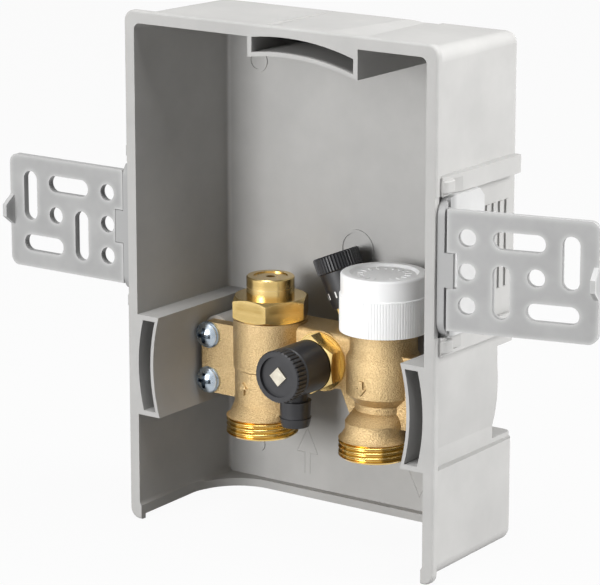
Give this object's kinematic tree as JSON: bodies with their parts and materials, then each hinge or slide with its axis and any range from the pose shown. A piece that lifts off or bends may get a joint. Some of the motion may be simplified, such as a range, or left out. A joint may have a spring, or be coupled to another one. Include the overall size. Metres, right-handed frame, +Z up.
{
  "type": "underfloor heating valve box",
  "caption": "Flush wall box for underfloor heating: open moulded case with folding side ears, holding a brass shut-off and control valve block with capped insert and vent tap.",
  "frame": {"origin": "bottom centre of the box's front rim plane, where the cover frame meets the finished wall", "axes": "+X to the right seen from the room, +Y into the wall, +Z up"},
  "size_m": [0.2466, 0.0604, 0.19],
  "materials": {
    "box_plastic": "fine matt moulded",
    "ear_plastic": "matt moulded",
    "cast_brass": "blasted casting",
    "turned_brass": "turned bright",
    "zinc_steel": "zinc plated",
    "spring_steel": "drawn",
    "seal_rubber": "moulded",
    "black_plastic": "satin moulded",
    "white_plastic": "satin moulded"
  },
  "bodies": {
    "box": {"wall_box": "box_plastic", "valve_block": "cast_brass", "flange_screws": "zinc_steel", "flange_washers": "zinc_steel", "lockshield_bonnet": "turned_brass", "valve_insert": "turned_brass", "return_spring": "spring_steel", "vent_nipple": "turned_brass", "vent_seal": "seal_rubber", "preset_bonnet": "turned_brass"},
    "left_slide_foot": {"left_slider": "ear_plastic"},
    "right_slide_foot": {"right_slider": "ear_plastic"},
    "left_fixing_ear": {"left_ear": "ear_plastic"},
    "right_fixing_ear": {"right_ear": "ear_plastic"},
    "pin_and_disc": {"valve_pin": "spring_steel", "valve_disc": "seal_rubber"},
    "cap": {"protective_cap": "white_plastic"},
    "lockshield_spindle": {"regulating_spindle": "turned_brass"},
    "drain_sleeve": {"vent_sleeve": "black_plastic"},
    "vent_tap": {"vent_knob": "black_plastic", "vent_spindle": "turned_brass"},
    "preset_tap": {"preset_knob": "black_plastic", "preset_spindle": "turned_brass"}
  },
  "joints": [
    {"name": "left_slide", "type": "slide", "parent": "box", "child": "left_slide_foot", "axis": [0, 1, 0], "range_m": [0, 0.024]},
    {"name": "right_slide", "type": "slide", "parent": "box", "child": "right_slide_foot", "axis": [0, 1, 0], "range_m": [0, 0.024]},
    {"name": "left_fold", "type": "hinge", "parent": "left_slide_foot", "child": "left_fixing_ear", "pos_m": [-0.0692, 0.00415, 0.1098], "axis": [0, 0, 1], "range_deg": [-90, 0]},
    {"name": "right_fold", "type": "hinge", "parent": "right_slide_foot", "child": "right_fixing_ear", "pos_m": [0.0692, 0.00415, 0.1133], "axis": [0, 0, 1], "range_deg": [-14, 76]},
    {"name": "pin_slide", "type": "slide", "parent": "box", "child": "pin_and_disc", "axis": [0, 0, 1], "range_m": [-0.0015, 0], "deforming": ["return_spring"]},
    {"name": "cap_turn", "type": "hinge", "parent": "pin_and_disc", "child": "cap", "pos_m": [0.025, 0.0309, 0.09], "axis": [0, 0, 1], "range_deg": [-360, 0]},
    {"name": "lockshield_turn", "type": "hinge", "parent": "box", "child": "lockshield_spindle", "pos_m": [-0.025, 0.0309, 0.08], "axis": [0, 0, 1], "range_deg": [-360, 0]},
    {"name": "spout_swivel", "type": "hinge", "parent": "box", "child": "drain_sleeve", "pos_m": [-0.0005, 0.014, 0.0643], "axis": [0, -1, 0], "range_deg": [-45, 45]},
    {"name": "vent_turn", "type": "hinge", "parent": "box", "child": "vent_tap", "pos_m": [-0.0005, 0.004, 0.0643], "axis": [0, -1, 0], "range_deg": [0, 360]},
    {"name": "preset_turn", "type": "hinge", "parent": "box", "child": "preset_tap", "pos_m": [0.0055, 0.0435, 0.0759], "axis": [-0.3907, 0, 0.9205], "range_deg": [0, 300]}
  ],
  "couplings": [
    {"joint": "pin_slide", "follows": "cap_turn", "m_per_rad": 0.00023873}
  ]
}
